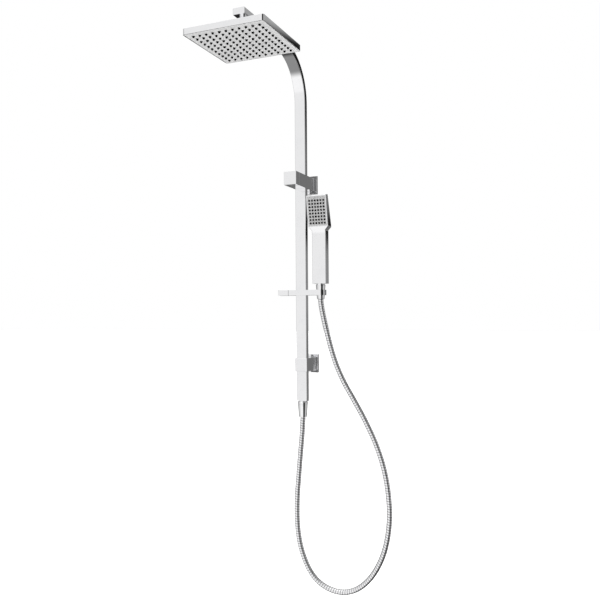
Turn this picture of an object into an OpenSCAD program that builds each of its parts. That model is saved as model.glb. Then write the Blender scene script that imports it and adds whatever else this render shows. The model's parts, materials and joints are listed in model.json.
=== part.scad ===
// Rainfall shower column: an overhead rose on a bent rectangular rail, a
// diverter inlet, a wall bracket, a slider that holds the hand shower, and a
// metal hose. All sizes are in millimetres.
// X runs to the right, Y into the wall and Z up. The origin is the centre of
// the water inlet, on the wall's face.

/* [Rail] */
// Width of the rectangular tube
rail_w = 30; // [24:1:36]
// Depth of the rectangular tube
rail_d = 15; // [12:1:20]
// Wall of the tube
rail_wall = 1.8; // [1.2:0.1:2.2]
// Outside corner radius of the tube
rail_corner = 1.4; // [0.6:0.1:1.8]
// Wall face to the middle of the rail
stand_off = 57.5; // [50:0.5:75]
// Inlet centre down to the bottom end of the rail
rail_drop = 588; // [480:1:720]
// Inlet centre up to the top face of the arm
arm_rise = 338; // [270:1:420]
// Middle of the rail forward to the end of the arm
arm_reach = 354; // [290:1:430]
// Radius of the bend on its inner side
bend_r = 110; // [80:1:150]
// Thickness of the plug's face at the arm's end
end_plug_t = 2; // [1:0.5:3]
// Length of each plug that stands inside the tube
plug_len = 12; // [8:1:16]

/* [Brackets] */
// Metal between the tube and the outside of each bracket block
block_wall = 2.5; // [2:0.1:4]
// How far a cover plate stands out past its block on each side
plate_lip = 7.5; // [5:0.5:10]
// Thickness of the cover plates
plate_t = 7; // [5:0.5:9]
// Rounding of the block and plate edges that run into the wall
block_round = 0.8; // [0.4:0.1:1.5]
// Bottom end of the rail up to the centre of the lower bracket
rail_tail = 97; // [80:1:130]
// Metal of the lower bracket in front of the rail
lower_lip = 4.4; // [3:0.1:8]
// Depth that each tube enters the diverter body
socket_depth = 8.5; // [7:0.5:9.5]
// Thickness of the gasket under each tube end
gasket_t = 1; // [0.5:0.1:1.5]
// Radius of the round stubs on the wall inside the brackets
stub_r = 13; // [12.5:0.1:14]
// Length of the round stubs
stub_len = 22; // [18:1:28]
// Radius of the inlet thread, G 1/2
inlet_r = 10.48; // [9:0.01:10.6]
// Depth of the inlet thread
inlet_depth = 14; // [10:1:16]
// Radius of the hole for the wall screw
wall_screw_r = 2.75; // [2:0.05:3.5]
// Metal that the wall screw's head pulls against
wall_screw_seat = 6; // [4:0.5:8]
// Radius of the set screws under the brackets
set_screw_r = 2.5; // [1.5:0.1:3]

/* [Diverter] */
// Front of the rail forward to the front of the knob
knob_front = 68; // [60:1:80]
// Length of the square knob
knob_len = 19.6; // [16:0.1:24]
// Gap between the knob and the body
knob_gap = 0.6; // [0.4:0.1:1]
// Radius of the cartridge chamber
chamber_r = 12.5; // [11:0.1:14]
// Depth of the cartridge chamber
chamber_depth = 28; // [24:1:32]
// Radius of the spindle
spindle_r = 4; // [3:0.1:5]
// Radius of the water ways in the body
way_r = 3; // [2:0.1:3.4]

/* [Overhead rose] */
// Side of the square rose
rose_side = 200; // [150:1:250]
// Height of the rose's rim
rose_t = 14; // [11:0.5:18]
// Sheet thickness of the rose
rose_wall = 2; // [1.5:0.1:2.5]
// Corner radius of the rose
rose_corner = 6; // [4:0.5:12]
// End of the arm back to the rose's axis
rose_inset = 23; // [20:0.5:40]
// Underside of the arm down to the underside of the rose
rose_hang = 59; // [58:0.5:75]
// Nozzles along each side of the rose
rose_rows = 11; // [8:1:12]
// Edge of the rose in to the centres of its outer nozzles
rose_margin = 18; // [12:0.5:24]
// Radius of a rose nozzle
rose_nozzle_r = 2.8; // [1.5:0.1:3.4]
// How far the nozzles stand out of the rose's rim
nozzle_out = 3; // [0.8:0.1:4]

/* [Ball joint] */
// Radius of the ball
ball_r = 9.5; // [8:0.1:10.5]
// Thickness of the bearing shell round the ball
seat_t = 1.5; // [1:0.1:1.8]
// Clearance between the ball, the shell and what holds it
ball_gap = 0.3; // [0.25:0.01:0.4]
// Rose's top face up to the ball's centre
ball_up = 18; // [17:0.5:22]
// Radius of the ball's neck
neck_r = 4.8; // [4:0.1:5]

/* [Slider] */
// Inlet centre down to the middle of the slider
slider_drop = 298; // [240:1:360]
// Height of the slider bar
slider_h = 14.3; // [12:0.1:18]
// Depth of the slider bar
slider_d = 30; // [29:0.5:38]
// Middle of the rail across to the hand shower's axis
cradle_x = 54; // [50:1:66]
// Middle of the rail across to the left end of the button
button_reach = 64.5; // [58:0.5:72]
// Length of the push button
button_len = 30.5; // [24:0.5:32]
// Travel of the push button
button_travel = 1.2; // [1:0.1:2.2]
// Thickness of the liners that run on the rail
liner_t = 1.4; // [1:0.1:2]
// Clearance between the liners and the rail
liner_gap = 0.2; // [0.1:0.05:0.4]
// Thickness of the sleeve in the cradle
cradle_liner_t = 1.1; // [0.8:0.1:1.4]
// Width of the slot in the cradle's right side
cradle_slot = 15; // [14.4:0.1:17]
// Metal round the cradle's sleeve
cradle_wall = 2; // [1.6:0.1:4]

/* [Hose] */
// Outside diameter of the hose
hose_d = 14; // [12:0.5:14.4]
// Clearance of the hose in the mouths of its nuts
hose_gap = 0.4; // [0.2:0.1:0.6]
// Length of the nut on the rail's outlet
rail_nut_len = 41; // [36:1:50]
// Radius of that nut at its top
rail_nut_r1 = 13.3; // [12.5:0.1:15]
// Radius of that nut at its mouth
rail_nut_r2 = 10.9; // [9.5:0.1:12]
// Length of the cone nut under the hand shower
cone_nut_len = 39; // [36:1:46]
// Radius of the cone nut at its top
cone_nut_r1 = 12.8; // [12.2:0.1:14]
// Radius of the cone nut at its mouth
cone_nut_r2 = 9.8; // [9.2:0.1:11]
// Cone nut's top above the middle of the slider
cone_nut_up = 21.5; // [18:0.5:24]
// Radius of the hose threads, G 1/2
thread_r = 10.3; // [9:0.1:10.4]
// Length of the hose threads
thread_len = 10; // [8:0.5:11]
// Gap between each nut and the piece above it
nut_gap = 2; // [1:0.1:2.5]
// Thickness of the hose washers
washer_t = 1.5; // [1:0.1:2]
// Thickness of the flanges on the hose tails
tail_t = 2; // [1.5:0.1:2.5]

/* [Hand shower] */
// Width of the handle
handle_w = 39; // [32:1:46]
// Depth of the handle
handle_d = 22; // [21.5:0.5:26]
// Length of the handle
handle_len = 142; // [120:1:170]
// Rounding of the handle's long edges
handle_round = 2; // [1:0.5:4]
// Wall of the hollow handle
handle_wall = 2.5; // [2:0.1:3.5]
// Width of the head
head_w = 57; // [50:1:60]
// Length of the head's face
head_len = 83.3; // [70:0.1:100]
// Tilt of the head's face
head_tilt = 9.8; // [5:0.1:14]
// Thickness of the head at its top
head_top_t = 14.6; // [13:0.1:18]
// Thickness of the head at its foot
head_foot_t = 24; // [22:0.5:27]
// Height over which the handle widens into the head
shoulder_h = 8.5; // [6:0.5:12]
// How far the head's face stands in front of the handle at its foot
head_step = 5.7; // [3:0.1:8]
// Height over which the handle's front runs out to the head's face
head_flare = 26; // [10:1:40]
// Nozzles across the head
head_cols = 6; // [4:1:6]
// Nozzles along the head
head_rows = 8; // [6:1:8]
// Sides of the head in to the centres of its outer nozzles
head_margin = 8.5; // [7:0.1:12]
// Foot of the head up to the centres of its lowest nozzles
head_margin_foot = 9.6; // [8:0.1:14]
// Top of the head down to the centres of its highest nozzles
head_margin_top = 14.2; // [8:0.1:20]
// Radius of a head nozzle
head_nozzle_r = 2.2; // [1:0.1:2.6]
// How far the head's nozzles stand out of its face
head_nozzle_out = 1.8; // [0.8:0.1:2.5]
// Frame left round the head's face plate
head_frame = 3; // [2:0.1:4]

/* [Hidden] */

$fn = 64;
slack = 0.1;                                 // room for a piece in its hole
e = 1;                                       // how far a cut runs past a face
rail_y = -stand_off;                         // middle of the rail
rail_front = rail_y - rail_d / 2;
rail_back = rail_y + rail_d / 2;
block = rail_w + 2 * block_wall;             // side of the bracket blocks
plate = block + 2 * plate_lip;
body_rear = -1;                              // the blocks stop short of the wall
lower_z = rail_tail - rail_drop;
// diverter
knob_end = rail_front - knob_front;
body_front = knob_end + knob_len + knob_gap;
chamber_end = body_front + chamber_depth;
nut_ring = 5.5;                              // length of the cartridge's nut
cartridge_front = body_front + 0.5 + nut_ring;
disc_room = 9;                               // space behind the spindle's bearing
port_x = 7;                                  // the two outlet ways, off centre
port_z = 3;
socket_z = block / 2 - socket_depth - gasket_t;
tube_z = socket_z + gasket_t;
// arm
arm_under = arm_rise - rail_d;
bend_y = rail_front - bend_r;
bend_z = arm_under - bend_r;
arm_end = rail_y - arm_reach;
rose_y = arm_end + rose_inset;
boss_r = 8.5;                                // boss in the arm
boss_drop = 6;
// rose and ball
rose_z = arm_under - rose_hang;
rose_top = rose_z + rose_t;
ball_z = rose_top + ball_up;
shell_in = ball_r + ball_gap;
shell_out = shell_in + seat_t;
cup_r = shell_out + ball_gap;                // cavity of the boss and the collar
cup_wall = 1.9;
collar_wall = 3.2;
collar_lap = 12;                             // how far the collar reaches down
seat_low = 7;
seat_high = 6;
cup_high = 7;
collar_high = 9.5;
way_ball = 3;
face_recess = 0.3;
face_t = 2;
mat_t = 1.2;
face_clear = 0.1;
rose_pitch = (rose_side - 2 * rose_margin) / (rose_rows - 1);
// slider
slider_z = -slider_drop;
bar_left = -(button_reach - button_len) + button_travel + 0.3;
liner_w = rail_w + 2 * (liner_gap + liner_t);
liner_d = rail_d + 2 * (liner_gap + liner_t);
yoke_t = 3;
yoke_d = liner_d + 2.6;
yoke_grip = 0.05;                            // yoke to the rail when it grips
yoke_bar = 5.4;
yoke_left = -(rail_w / 2 + 3) - 4;
tongue_d = 7.6;
tongue_in = 4.5;                             // how far the tongue enters the button
spring_wire = 0.45;
spring_r = 4.95;
spring_bore = 5.8;
spring_seat = bar_left + 6.5;
// cone nut, seen from the middle of the slider
cone_top = slider_z + cone_nut_up;
cone_low = cone_top - cone_nut_len;
function cone_r(z) = cone_nut_r2
    + (cone_nut_r1 - cone_nut_r2) * (z - cone_low) / cone_nut_len;
cone_gap = 0.1;
// hand shower
handle_z = cone_top + nut_gap;
spigot_end = handle_z - thread_len;
cone_seat = spigot_end - washer_t - tail_t;
handle_top = handle_z + handle_len;
foot_z = handle_top + shoulder_h;            // foot of the head's face
foot_y = -handle_d / 2 - head_step;
top_z = foot_z + head_len * cos(head_tilt);
top_y = foot_y - head_len * sin(head_tilt);
face_z = (foot_z + top_z) / 2;
face_y = (foot_y + top_y) / 2;
plug_r = 8;                                  // spigot's stem inside the handle
head_pitch_x = (head_w - 2 * head_margin) / (head_cols - 1);
head_pitch_z = (head_len - head_margin_foot - head_margin_top) / (head_rows - 1);
head_field_drop = (head_margin_top - head_margin_foot) / 2;
// rail outlet
outlet_end = -rail_drop - thread_len - nut_gap;
rail_nut_top = -rail_drop - nut_gap + 0.4;
rail_nut_low = rail_nut_top - rail_nut_len;
rail_seat = outlet_end - washer_t - tail_t;

// Route of the hose in the plane of the rail: [x, z], from the rail's outlet
// down, round the loop and up to the cone nut. One point every two or three
// diameters.
hose_points = [
    [0, -604.5], [0, -632], [-2, -665], [-5, -700], [-9, -740], [-13, -785],
    [-17, -830], [-19, -875], [-18, -920], [-12, -965], [0, -1005],
    [18, -1040], [42, -1065], [74, -1080], [110, -1083], [144, -1072],
    [175, -1048], [201, -1013], [221, -970], [233, -922], [238, -872],
    [236, -825], [230, -780], [220, -738], [206, -698], [189, -660],
    [168, -620], [144, -579], [119, -537], [98, -493], [83, -449],
    [71, -404], [61, -362], [55, -330], [54, -311], [54, -289]];

// ---- helpers

// Rounded rectangle
module rounded(w, h, r) {
    square([w - 2 * r, h], center = true);
    square([w, h - 2 * r], center = true);
    for (sx = [-1, 1], sy = [-1, 1])
        translate([sx * (w / 2 - r), sy * (h / 2 - r)]) circle(r = r);
}

// Prism with a rounded section that runs along Y
module bar_y(w, h, r, y0, y1, z = 0)
    translate([0, y0, z]) rotate([-90, 0, 0])
        linear_extrude(y1 - y0) rounded(w, h, r);

// Prism with a rounded section that runs along Z
module bar_z(w, d, r, z0, z1, x = 0, y = 0)
    translate([x, y, z0]) linear_extrude(z1 - z0) rounded(w, d, r);

module cyl_y(r, y0, y1, x = 0, z = 0)
    translate([x, y0, z]) rotate([-90, 0, 0]) cylinder(r = r, h = y1 - y0);

module cyl_x(r, x0, x1, y = 0, z = 0)
    translate([x0, y, z]) rotate([0, 90, 0]) cylinder(r = r, h = x1 - x0);

module cyl_z(r, z0, z1, x = 0, y = 0)
    translate([x, y, z0]) cylinder(r = r, h = z1 - z0);

module slab(x0, x1, y0, y1, z0, z1)
    translate([x0, y0, z0]) cube([x1 - x0, y1 - y0, z1 - z0]);

// Smooth curve through a list of points
function spline(p, i, t) =
    let (a = p[max(i - 1, 0)], b = p[i], c = p[i + 1],
         d = p[min(i + 2, len(p) - 1)])
    0.5 * (2 * b + (c - a) * t + (2 * a - 5 * b + 4 * c - d) * t * t
        + (3 * b - a - 3 * c + d) * t * t * t);
function smooth(p, n) = concat(
    [for (i = [0 : len(p) - 2], k = [0 : n - 1]) spline(p, i, k / n)],
    [p[len(p) - 1]]);
function unit(v) = v / norm(v);

// Tube of round section along points, with a fixed side direction
module sweep(points, radius, sides, side) {
    n = len(points);
    rings = [for (i = [0 : n - 1])
        let (t = unit(points[min(i + 1, n - 1)] - points[max(i - 1, 0)]),
             u = unit(side - (side * t) * t), v = cross(t, u))
        for (k = [0 : sides - 1])
            points[i] + radius * (cos(360 * k / sides) * u
                + sin(360 * k / sides) * v)];
    polyhedron(points = rings, faces = concat(
        [[for (k = [0 : sides - 1]) k]],
        [for (i = [0 : n - 2], k = [0 : sides - 1])
            let (a = i * sides + k, b = i * sides + (k + 1) % sides)
            [a, a + sides, b + sides, b]],
        [[for (k = [sides - 1 : -1 : 0]) (n - 1) * sides + k]]));
}

// ---- wall inlet and diverter

module cover_plate(z)
    difference() {
        bar_y(plate, plate, block_round, -plate_t, 0, z);
        bar_y(block + 2 * slack, block + 2 * slack, block_round, -plate_t - e, e, z);
    }

module upper_flange() color("silver") cover_plate(0);

module inlet_union()
    color("goldenrod") difference() {
        cyl_y(stub_r, -stub_len, 0);
        cyl_y(inlet_r, -inlet_depth, e);
        cyl_y(way_r, -stub_len - e, 0);
    }

module set_screw_hole(z)
    cyl_z(set_screw_r + slack, z - block / 2 - e, z - stub_r + 0.5, 0, -stub_len / 2 - 3);

module diverter_body()
    color("silver") difference() {
        bar_y(block, block, block_round, body_front, body_rear);
        cyl_y(stub_r + slack, -stub_len - slack, 0);
        set_screw_hole(0);
        cyl_y(way_r, chamber_end - e, -stub_len);
        cyl_y(chamber_r, body_front - e, chamber_end);
        for (s = [-1, 1]) {
            cyl_y(way_r - 0.5, chamber_end - e, rail_y, s * port_x, s * port_z);
            cyl_z(way_r - 0.5, min(s * port_z, s * (socket_z + e)),
                max(s * port_z, s * (socket_z + e)), s * port_x, rail_y);
            slab(-rail_w / 2 - slack, rail_w / 2 + slack,
                rail_front - slack, rail_back + slack,
                min(s * socket_z, s * block), max(s * socket_z, s * block));
        }
    }

module rail_gaskets()
    color("dimgray") for (s = [-1, 1])
        difference() {
            slab(-rail_w / 2, rail_w / 2, rail_front, rail_back,
                min(s * socket_z, s * tube_z), max(s * socket_z, s * tube_z));
            slab(-rail_w / 2 + rail_wall, rail_w / 2 - rail_wall,
                rail_front + rail_wall, rail_back - rail_wall, -block, block);
        }

module diverter_cartridge()
    color("white") difference() {
        cyl_y(chamber_r - slack, cartridge_front, chamber_end);
        cyl_y(spindle_r + 0.08, cartridge_front - e, chamber_end - 5);
        cyl_y(chamber_r - 3, chamber_end - 5 - disc_room, chamber_end - 5);
        cyl_y(way_r, chamber_end - 6, chamber_end + e);
        for (s = [-1, 1])
            cyl_y(way_r - 0.5, chamber_end - 6, chamber_end + e, s * port_x, s * port_z);
    }

module cartridge_nut()
    color("goldenrod") difference() {
        cyl_y(chamber_r - slack, cartridge_front - nut_ring, cartridge_front);
        cyl_y(spindle_r + 2, cartridge_front - nut_ring - e, cartridge_front + e);
        for (s = [-1, 1])
            cyl_y(1.2, cartridge_front - nut_ring - e, cartridge_front - nut_ring + 2,
                s * (spindle_r + 5), 0);
    }

module diverter_spindle()
    color("goldenrod")
        cyl_y(spindle_r, knob_end + 6, chamber_end - 5 - 4);

module valve_disc()
    color("whitesmoke") difference() {
        cyl_y(chamber_r - 3.4, chamber_end - 5 - 4, chamber_end - 5 - 0.3);
        cyl_y(way_r - 0.4, chamber_end - 15, chamber_end, port_x, port_z);
    }

module diverter_knob()
    color("silver") difference() {
        bar_y(block, block, block_round, knob_end, knob_end + knob_len);
        cyl_y(spindle_r + slack, knob_end + 6 - slack, 0);
        cyl_y(spindle_r + 4, knob_end + knob_len - 5, 0);
        cyl_z(2 + slack, -block, 0, 0, knob_end + 10);
    }

module knob_screw()
    color("dimgray") difference() {
        cyl_z(2, -spindle_r - 8.1, -spindle_r - 0.1, 0, knob_end + 10);
        translate([0, knob_end + 10, -spindle_r - 9])
            cylinder(r = 1.15, h = 3, $fn = 6);
    }

module set_screws()
    color("dimgray") for (z = [0, lower_z])
        difference() {
            cyl_z(set_screw_r, z - block / 2 + 0.4, z - stub_r - slack / 2, 0, -stub_len / 2 - 3);
            translate([0, -stub_len / 2 - 3, z - block / 2])
                cylinder(r = 1.45, h = 2, $fn = 6);
        }

// ---- lower bracket

module lower_flange() color("silver") cover_plate(lower_z);

module wall_boss()
    color("goldenrod") difference() {
        cyl_y(stub_r, -stub_len, 0, 0, lower_z);
        cyl_y(wall_screw_r, -stub_len - e, e, 0, lower_z);
        cyl_y(wall_screw_r + 3, -stub_len - e, -wall_screw_seat, 0, lower_z);
    }

module lower_bracket()
    color("silver") difference() {
        bar_y(block, block, block_round, rail_front - lower_lip, body_rear, lower_z);
        cyl_y(stub_r + slack, -stub_len - slack, 0, 0, lower_z);
        set_screw_hole(lower_z);
        slab(-rail_w / 2 - slack, rail_w / 2 + slack, rail_front - slack,
            rail_back + slack, lower_z - block, lower_z + block);
    }

// ---- rail and arm

module rail_section(wall)
    rounded(rail_w - 2 * wall, rail_d - 2 * wall, max(rail_corner - wall, 0.3));

module rail_tube()
    color("silver") translate([0, rail_y, -rail_drop])
        linear_extrude(rail_drop - tube_z) difference() {
            rail_section(0);
            rail_section(rail_wall);
        }

module rail_outlet()
    color("goldenrod") difference() {
        union() {
            bar_z(rail_w - 2 * rail_wall - 2 * slack, rail_d - 2 * rail_wall - 2 * slack,
                0.3, -rail_drop, -rail_drop + plug_len, 0, rail_y);
            cyl_z(thread_r, outlet_end, -rail_drop, 0, rail_y);
        }
        cyl_z(way_r + 1, outlet_end - e, -rail_drop + plug_len + e, 0, rail_y);
    }

module arm_path(wall, over) {
    translate([0, rail_y, tube_z - over])
        linear_extrude(bend_z - tube_z + over) rail_section(wall);
    translate([0, bend_y, bend_z]) rotate([90, 0, 90])
        rotate_extrude(angle = 90, $fn = 96)
            translate([bend_r + rail_d / 2, 0]) rotate(90) rail_section(wall);
    translate([0, arm_end + end_plug_t - over, arm_under + rail_d / 2])
        rotate([-90, 0, 0])
            linear_extrude(bend_y - arm_end - end_plug_t + over) rail_section(wall);
}

module arm_tube()
    color("silver") difference() {
        arm_path(0, 0);
        arm_path(rail_wall, e);
        cyl_z(boss_r + slack, arm_under - e, arm_under + rail_wall + e, 0, rose_y);
    }

module arm_end_plug()
    color("silver") {
        bar_y(rail_w, rail_d, rail_corner, arm_end, arm_end + end_plug_t,
            arm_under + rail_d / 2);
        bar_y(rail_w - 2 * rail_wall - 2 * slack, rail_d - 2 * rail_wall - 2 * slack, 0.3,
            arm_end + end_plug_t, arm_end + end_plug_t + 5, arm_under + rail_d / 2);
    }

module arm_boss()
    color("goldenrod") difference() {
        union() {
            cyl_z(boss_r, arm_under - boss_drop, arm_under + rail_wall, 0, rose_y);
            cyl_z(boss_r + 2.5, arm_under + rail_wall, arm_under + rail_wall + 2, 0, rose_y);
        }
        cyl_z(boss_r - 2, arm_under - boss_drop - e, arm_under + rail_wall + 3, 0, rose_y);
    }

// ---- ball joint and rose

module ball_stem()
    color("silver") difference() {
        union() {
            cyl_z(boss_r - 2 - slack, arm_under - boss_drop, arm_under + rail_wall, 0, rose_y);
            translate([0, rose_y, arm_under - boss_drop - 6])
                cylinder(r = 9.8, h = 6, $fn = 6);
            cyl_z(neck_r, ball_z, arm_under - boss_drop - 6, 0, rose_y);
            translate([0, rose_y, ball_z]) sphere(r = ball_r);
        }
        cyl_z(way_ball, ball_z - ball_r - e, arm_rise, 0, rose_y);
    }

// Zone of a hollow ball between two heights, as a ring
module ball_zone(r_in, r_out, low, high)
    translate([0, rose_y, ball_z]) intersection() {
        difference() {
            sphere(r = r_out);
            sphere(r = r_in);
        }
        translate([0, 0, low]) cylinder(r = r_out + e, h = high - low);
    }

module ball_seat()
    color("whitesmoke") ball_zone(shell_in, shell_out, -seat_low, seat_high);

module ball_collar()
    color("silver") difference() {
        union() {
            cyl_z(cup_r + cup_wall + ball_gap + collar_wall, ball_z - collar_lap,
                ball_z + collar_high - 3, 0, rose_y);
            translate([0, rose_y, ball_z + collar_high - 3])
                cylinder(r1 = cup_r + cup_wall + ball_gap + collar_wall,
                    r2 = cup_r + cup_wall, h = 3);
        }
        translate([0, rose_y, ball_z]) sphere(r = cup_r);
        cyl_z(sqrt(cup_r * cup_r - cup_high * cup_high), ball_z, ball_z + 20, 0, rose_y);
        cyl_z(cup_r + cup_wall + ball_gap, ball_z - collar_lap - e, ball_z - 0.7, 0, rose_y);
    }

module rose_inlet_boss()
    color("goldenrod") difference() {
        union() {
            cyl_z(cup_r + cup_wall, rose_top, ball_z - 1, 0, rose_y);
            cyl_z(boss_r, rose_top - rose_wall - 4, rose_top, 0, rose_y);
        }
        translate([0, rose_y, ball_z]) sphere(r = cup_r);
        cyl_z(way_ball + 2, rose_z, ball_z, 0, rose_y);
    }

module rose_boss_nut()
    color("goldenrod") difference() {
        translate([0, rose_y, rose_top - rose_wall - 3]) cylinder(r = boss_r + 4.5, h = 3, $fn = 6);
        cyl_z(boss_r + slack, rose_z, rose_top, 0, rose_y);
    }

module rose_shell()
    color("silver") difference() {
        bar_z(rose_side, rose_side, rose_corner, rose_z, rose_top, 0, rose_y);
        bar_z(rose_side - 2 * rose_wall, rose_side - 2 * rose_wall,
            rose_corner - rose_wall, rose_z - e, rose_top - rose_wall, 0, rose_y);
        cyl_z(boss_r + slack, rose_z, rose_top + e, 0, rose_y);
    }

// Square field of discs
module field(nx, ny, px, py, r)
    for (i = [0 : nx - 1], j = [0 : ny - 1])
        translate([(i - (nx - 1) / 2) * px, (j - (ny - 1) / 2) * py])
            circle(r = r, $fn = 24);

module rose_face_plate()
    color("lightgray") translate([0, rose_y, rose_z + face_recess])
        linear_extrude(face_t) difference() {
            rounded(rose_side - 2 * rose_wall - 2 * face_clear,
                rose_side - 2 * rose_wall - 2 * face_clear, rose_corner - rose_wall);
            field(rose_rows, rose_rows, rose_pitch, rose_pitch, rose_nozzle_r + face_clear);
        }

module rose_nozzle_mat()
    color("dimgray") translate([0, rose_y, 0]) {
        translate([0, 0, rose_z + face_recess + face_t]) linear_extrude(mat_t)
            square((rose_rows - 1) * rose_pitch + 2 * rose_nozzle_r + 4, center = true);
        translate([0, 0, rose_z - nozzle_out])
            linear_extrude(nozzle_out + face_recess + face_t)
                field(rose_rows, rose_rows, rose_pitch, rose_pitch, rose_nozzle_r);
    }

// ---- slider

module slider_body()
    color("silver") difference() {
        translate([0, rail_y, slider_z - slider_h / 2]) linear_extrude(slider_h)
            difference() {
                union() {
                    translate([bar_left, -slider_d / 2])
                        square([cradle_x - bar_left, slider_d]);
                    translate([cradle_x, 0]) circle(r = cradle_r);
                }
                square([liner_w, liner_d], center = true);
                translate([cradle_x, -cradle_slot / 2])
                    square([slider_d, cradle_slot]);
            }
        cradle_cone(cradle_liner_t + slack / 2, slider_h / 2 + e);
        slab(yoke_left - 0.6, rail_w / 2 + yoke_bar + button_travel + 0.6,
            rail_y - yoke_d / 2 - 0.2, rail_y + yoke_d / 2 + 0.2,
            slider_z - yoke_t / 2 - 0.2, slider_z + yoke_t / 2 + 0.2);
        slab(bar_left - e, yoke_left, rail_y - tongue_d / 2 - 0.2,
            rail_y + tongue_d / 2 + 0.2,
            slider_z - yoke_t / 2 - 0.2, slider_z + yoke_t / 2 + 0.2);
        cyl_x(spring_bore, bar_left - e, spring_seat, rail_y, slider_z);
    }

// Outside of the cradle: the bar's end, or as much as its sleeve needs
cradle_r = max(slider_d / 2,
    cone_r(slider_z + slider_h / 2) + cone_gap + cradle_liner_t + cradle_wall);

// The cone nut's own cone, grown by a clearance, h above and below the slider
module cradle_cone(grow, h)
    translate([cradle_x, rail_y, slider_z - h])
        cylinder(r1 = cone_r(slider_z - h) + cone_gap + grow,
            r2 = cone_r(slider_z + h) + cone_gap + grow, h = 2 * h);

module cradle_liner()
    color("gray") difference() {
        cradle_cone(cradle_liner_t, slider_h / 2);
        cradle_cone(0, slider_h / 2 + e);
        slab(cradle_x, cradle_x + slider_d, rail_y - cradle_slot / 2,
            rail_y + cradle_slot / 2, slider_z - slider_h, slider_z + slider_h);
    }

module slider_liners()
    color("gray") for (s = [-1, 1])
        translate([0, rail_y, slider_z + min(s * (yoke_t / 2 + 0.3), s * slider_h / 2)])
            linear_extrude(slider_h / 2 - yoke_t / 2 - 0.3) difference() {
                square([liner_w, liner_d], center = true);
                square([rail_w + 2 * liner_gap, rail_d + 2 * liner_gap], center = true);
            }

module slider_button()
    color("silver") difference() {
        bar_z(button_len, slider_d, 1, slider_z - slider_h / 2, slider_z + slider_h / 2,
            -button_reach + button_len / 2, rail_y);
        slab(-button_reach + button_len - tongue_in, 0, rail_y - tongue_d / 2 - slack / 2,
            rail_y + tongue_d / 2 + slack / 2, slider_z - yoke_t / 2 - slack / 2,
            slider_z + yoke_t / 2 + slack / 2);
    }

module grip_yoke()
    color("dimgray") translate([0, rail_y, slider_z - yoke_t / 2]) linear_extrude(yoke_t) {
        difference() {
            translate([yoke_left, -yoke_d / 2])
                square([rail_w / 2 + yoke_grip + yoke_bar - yoke_left, yoke_d]);
            translate([yoke_left + 4, -rail_d / 2 - 0.4])
                square([rail_w / 2 + yoke_grip - yoke_left - 4, rail_d + 0.8]);
        }
        translate([-button_reach + button_len - tongue_in, -tongue_d / 2])
            square([yoke_left + button_reach - button_len + tongue_in, tongue_d]);
    }

module button_spring() {
    turns = 4;
    steps = 14;
    x0 = -button_reach + button_len + spring_wire + 0.05;
    x1 = spring_seat - spring_wire - 0.05;
    color("dimgray") sweep([for (i = [0 : turns * steps])
        [x0 + (x1 - x0) * i / (turns * steps),
         rail_y + spring_r * cos(360 * i / steps),
         slider_z + spring_r * sin(360 * i / steps)]],
        spring_wire, 6, [1, 0, 0]);
}

// ---- hose and its ends

module hose()
    color("silver") sweep([for (p = smooth(hose_points, 2)) [p[0], rail_y, p[1]]],
        hose_d / 2, 10, [0, 1, 0]);

// Nut with a wide threaded bore above a seat and the hose's mouth below it
module hose_nut(x, top, length, r1, r2, seat)
    translate([x, rail_y, top - length]) difference() {
        rotate_extrude() polygon([[0, 0], [r2 - 0.8, 0], [r2, 0.8],
            [r1, length - 2.4], [r1 - 0.5, length - 0.9], [r1 - 1.6, length], [0, length]]);
        translate([0, 0, seat - top + length]) cylinder(r = thread_r + slack, h = length);
        translate([0, 0, -e]) cylinder(r = (hose_d + hose_gap) / 2, h = length);
    }

module rail_hose_nut()
    color("silver") hose_nut(0, rail_nut_top, rail_nut_len, rail_nut_r1, rail_nut_r2, rail_seat);

module hose_ring(x, low, t, r)
    translate([x, rail_y, low]) difference() {
        cylinder(r = thread_r - slack, h = t);
        translate([0, 0, -e]) cylinder(r = r, h = t + 2 * e);
    }

module rail_hose_tail() color("goldenrod") hose_ring(0, rail_seat, tail_t, 4);
module rail_hose_washer() color("dimgray") hose_ring(0, rail_seat + tail_t, washer_t, 5.5);

module cone_nut()
    color("silver") difference() {
        translate([cradle_x, rail_y, cone_low]) rotate_extrude()
            polygon([[0, 0], [cone_nut_r2 - 0.6, 0], [cone_r(cone_low + 0.8), 0.8],
                [cone_r(cone_top - 1.2), cone_nut_len - 1.2],
                [cone_nut_r1 - 1.2, cone_nut_len], [0, cone_nut_len]]);
        cyl_z(thread_r + slack, cone_seat, cone_top + e, cradle_x, rail_y);
        cyl_z((hose_d + hose_gap) / 2, cone_low - e, cone_top, cradle_x, rail_y);
    }

module cone_nut_tail() color("goldenrod") hose_ring(cradle_x, cone_seat, tail_t, 4);
module cone_nut_washer() color("dimgray") hose_ring(cradle_x, cone_seat + tail_t, washer_t, 5.5);

// ---- hand shower

// Places a piece in the frame of the hand shower's axis
module at_handset() translate([cradle_x, rail_y, 0]) children();

// Places a piece on the head's face: local Z runs up the face, -Y out of it
module on_face() at_handset() translate([0, face_y, face_z]) rotate([head_tilt, 0, 0]) children();

module handset_spigot()
    color("goldenrod") at_handset() difference() {
        union() {
            cyl_z(thread_r, spigot_end, handle_z);
            cyl_z(plug_r, handle_z, handle_z + plug_len);
        }
        cyl_z(way_r + 1, spigot_end - e, handle_z + plug_len + e);
    }

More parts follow.
